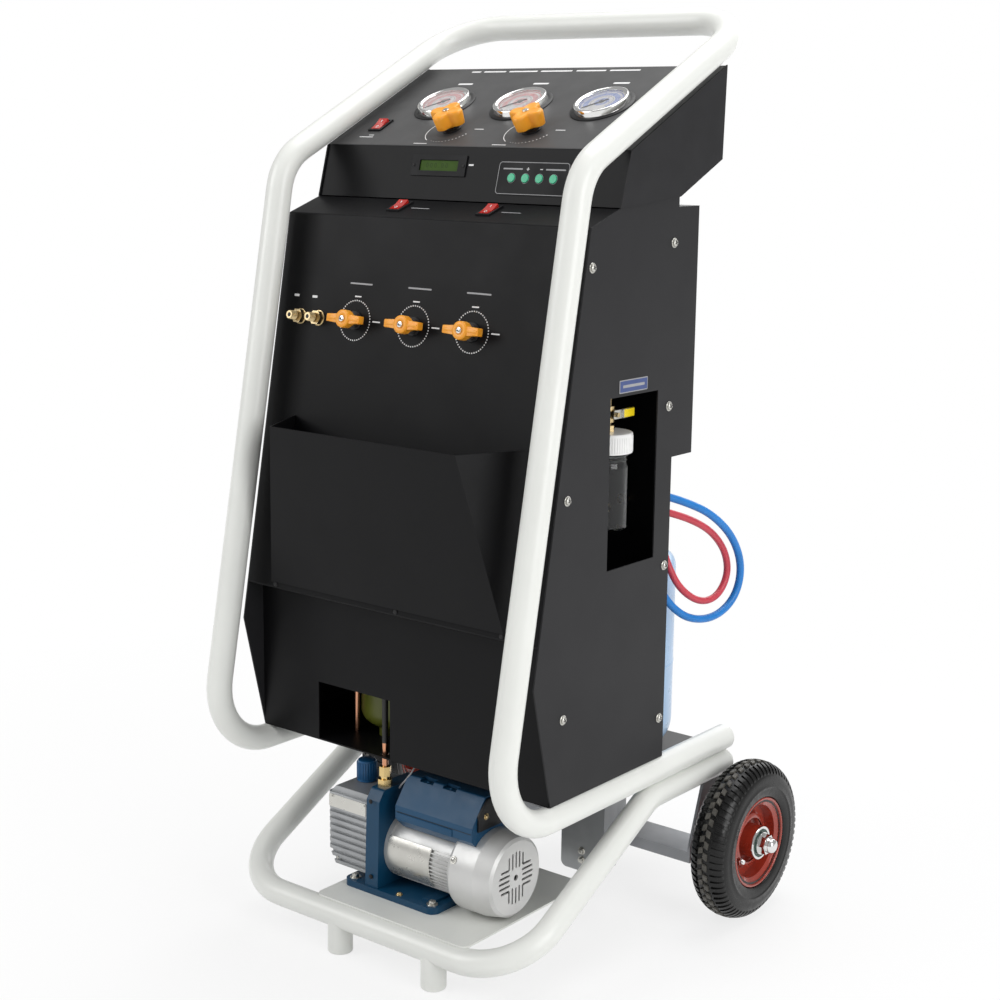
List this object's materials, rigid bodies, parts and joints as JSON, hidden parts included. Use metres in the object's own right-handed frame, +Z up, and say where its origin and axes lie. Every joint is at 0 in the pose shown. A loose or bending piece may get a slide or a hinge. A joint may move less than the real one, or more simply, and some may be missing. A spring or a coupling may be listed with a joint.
{
  "type": "air conditioning recharge station",
  "caption": "Wheeled service cart with a bent tube frame, sloped cabinet, gauge console, vacuum pump on a front shelf and refrigerant cylinder behind.",
  "frame": {"origin": "Middle of the bounding box, on the floor.", "axes": "+X is the user's right seen from the front, +Y runs from the front to the wheels, +Z is up."},
  "size_m": [0.692, 0.588, 1.2086],
  "materials": {
    "axle_paint": "satin",
    "axle_steel": "gloss",
    "brass": "gloss",
    "button_green": "satin",
    "cabinet_paint": "satin",
    "cap_white": "satin",
    "compressor_green": "gloss",
    "cylinder_blue": "gloss",
    "fan_black": "matte",
    "frame_paint": "gloss",
    "gauge_chrome": "gloss",
    "gauge_glass": "gloss",
    "hose_blue": "satin",
    "hose_red": "satin",
    "jar_clear": "gloss",
    "keypad_film": "satin",
    "knob_orange": "satin",
    "lever_yellow": "satin",
    "needle_black": "matte",
    "panel_paint": "satin",
    "pump_box_blue": "satin",
    "pump_cap_blue": "satin",
    "pump_paint": "satin",
    "pump_silver": "satin",
    "rim_paint": "gloss",
    "rocker_red": "gloss",
    "scale_zinc": "satin",
    "suction_brass": "gloss",
    "switch_black": "satin",
    "tyre_rubber": "matte",
    "wheel_blue": "satin",
    "wheel_red": "satin"
  },
  "bodies": {
    "station": {"axle_beam": "axle_paint", "blue_hose": "hose_blue", "console_housing": "cabinet_paint", "control_panel": "panel_paint", "cylinder_valves": "brass", "display_module": "switch_black", "front_panel": "cabinet_paint", "gauge_cases": "gauge_chrome", "gauge_lenses": "gauge_glass", "hose_fittings": "brass", "jar_cap": "cap_white", "keypad_plate": "keypad_film", "left_side_panel": "cabinet_paint", "lower_frame_tube": "frame_paint", "lower_front_panel": "cabinet_paint", "main_frame_tube": "frame_paint", "oil_valve": "brass", "panel_fittings": "brass", "pump_bracket": "pump_paint", "pump_fan_cover": "pump_silver", "pump_motor_body": "pump_silver", "pump_oil_casing": "pump_silver", "pump_shelf": "frame_paint", "pump_top_box": "pump_box_blue", "rear_box": "cabinet_paint", "rear_panel": "cabinet_paint", "red_hose": "hose_red", "refrigerant_circuit": "compressor_green", "refrigerant_cylinder": "cylinder_blue", "right_side_panel": "cabinet_paint", "scale_platform": "scale_zinc", "storage_pocket": "cabinet_paint", "suction_line": "suction_brass", "switch_housings": "switch_black", "wheel_axles": "axle_steel"},
    "left_wheel": {"left_tyre": "tyre_rubber", "left_rim": "rim_paint"},
    "right_wheel": {"right_tyre": "tyre_rubber", "right_rim": "rim_paint"},
    "left_needle": {"left_gauge_needle": "needle_black"},
    "middle_needle": {"middle_gauge_needle": "needle_black"},
    "right_needle": {"right_gauge_needle": "needle_black"},
    "left_knob": {"left_pressure_knob": "knob_orange"},
    "right_knob": {"right_pressure_knob": "knob_orange"},
    "left_lever": {"left_valve_lever": "knob_orange"},
    "middle_lever": {"middle_valve_lever": "knob_orange"},
    "right_lever": {"right_valve_lever": "knob_orange"},
    "power_switch": {"power_rocker": "rocker_red"},
    "left_ledge_switch": {"left_ledge_rocker": "rocker_red"},
    "right_ledge_switch": {"right_ledge_rocker": "rocker_red"},
    "button_1": {"keypad_button_1": "button_green"},
    "button_2": {"keypad_button_2": "button_green"},
    "button_3": {"keypad_button_3": "button_green"},
    "button_4": {"keypad_button_4": "button_green"},
    "oil_lever": {"oil_valve_handle": "lever_yellow"},
    "blue_cylinder_valve": {"blue_handwheel": "wheel_blue"},
    "red_cylinder_valve": {"red_handwheel": "wheel_red"},
    "pump_rotor": {"pump_fan": "fan_black"},
    "filler_cap": {"pump_filler_cap": "pump_cap_blue"},
    "jar": {"oil_jar": "jar_clear"}
  },
  "joints": [
    {"name": "left_wheel_spin", "type": "hinge", "parent": "station", "child": "left_wheel", "pos_m": [-0.297, 0.185, 0.109], "axis": [1, 0, 0], "continuous": true},
    {"name": "right_wheel_spin", "type": "hinge", "parent": "station", "child": "right_wheel", "pos_m": [0.297, 0.185, 0.109], "axis": [1, 0, 0], "continuous": true},
    {"name": "left_needle_turn", "type": "hinge", "parent": "station", "child": "left_needle", "pos_m": [-0.1295, 0.04814, 1.08257], "axis": [0, -0.454, 0.891], "range_deg": [-270, 0]},
    {"name": "middle_needle_turn", "type": "hinge", "parent": "station", "child": "middle_needle", "pos_m": [0, 0.04814, 1.08257], "axis": [0, -0.454, 0.891], "range_deg": [-270, 0]},
    {"name": "right_needle_turn", "type": "hinge", "parent": "station", "child": "right_needle", "pos_m": [0.1295, 0.04814, 1.08257], "axis": [0, -0.454, 0.891], "range_deg": [-270, 0]},
    {"name": "left_knob_turn", "type": "hinge", "parent": "station", "child": "left_knob", "pos_m": [-0.065, -0.01379, 1.05102], "axis": [0, -0.454, 0.891], "range_deg": [0, 270]},
    {"name": "right_knob_turn", "type": "hinge", "parent": "station", "child": "right_knob", "pos_m": [0.065, -0.01379, 1.05102], "axis": [0, -0.454, 0.891], "range_deg": [0, 270]},
    {"name": "left_lever_turn", "type": "hinge", "parent": "station", "child": "left_lever", "pos_m": [-0.1064, -0.15455, 0.811], "axis": [0, -0.9842, 0.1769], "range_deg": [0, 90]},
    {"name": "middle_lever_turn", "type": "hinge", "parent": "station", "child": "middle_lever", "pos_m": [-0.0078, -0.15455, 0.811], "axis": [0, -0.9842, 0.1769], "range_deg": [0, 90]},
    {"name": "right_lever_turn", "type": "hinge", "parent": "station", "child": "right_lever", "pos_m": [0.087, -0.15455, 0.811], "axis": [0, -0.9842, 0.1769], "range_deg": [0, 90]},
    {"name": "power_rocker_tip", "type": "hinge", "parent": "station", "child": "power_switch", "pos_m": [-0.195, -0.00574, 1.05175], "axis": [1, 0, 0], "range_deg": [-20, 0]},
    {"name": "left_ledge_rocker_tip", "type": "hinge", "parent": "station", "child": "left_ledge_switch", "pos_m": [-0.079, -0.09797, 0.95061], "axis": [1, 0, 0], "range_deg": [-20, 0]},
    {"name": "right_ledge_rocker_tip", "type": "hinge", "parent": "station", "child": "right_ledge_switch", "pos_m": [0.0676, -0.09797, 0.95061], "axis": [1, 0, 0], "range_deg": [-20, 0]},
    {"name": "button_1_press", "type": "slide", "parent": "station", "child": "button_1", "axis": [0, 0.9657, -0.2595], "range_m": [0, 0.0008], "stiffness_N_per_m": 1500},
    {"name": "button_2_press", "type": "slide", "parent": "station", "child": "button_2", "axis": [0, 0.9657, -0.2595], "range_m": [0, 0.0008], "stiffness_N_per_m": 1500},
    {"name": "button_3_press", "type": "slide", "parent": "station", "child": "button_3", "axis": [0, 0.9657, -0.2595], "range_m": [0, 0.0008], "stiffness_N_per_m": 1500},
    {"name": "button_4_press", "type": "slide", "parent": "station", "child": "button_4", "axis": [0, 0.9657, -0.2595], "range_m": [0, 0.0008], "stiffness_N_per_m": 1500},
    {"name": "oil_lever_turn", "type": "hinge", "parent": "station", "child": "oil_lever", "pos_m": [0.205, -0.033, 0.71], "axis": [1, 0, 0], "range_deg": [0, 90]},
    {"name": "blue_handwheel_turn", "type": "hinge", "parent": "station", "child": "blue_cylinder_valve", "pos_m": [0.045, 0.156, 0.492], "axis": [0, 0, 1], "range_deg": [0, 360]},
    {"name": "red_handwheel_turn", "type": "hinge", "parent": "station", "child": "red_cylinder_valve", "pos_m": [0.045, 0.19, 0.492], "axis": [0, 0, 1], "range_deg": [0, 360]},
    {"name": "pump_fan_spin", "type": "hinge", "parent": "station", "child": "pump_rotor", "pos_m": [0, -0.151, 0.126], "axis": [1, 0, 0], "continuous": true},
    {"name": "filler_cap_turn", "type": "hinge", "parent": "station", "child": "filler_cap", "pos_m": [-0.091, -0.151, 0.186], "axis": [0, 0, 1], "range_deg": [0, 360]},
    {"name": "jar_unscrew", "type": "hinge", "parent": "station", "child": "jar", "pos_m": [0.205, -0.033, 0.566], "axis": [0, 0, 1], "range_deg": [0, 180]}
  ]
}
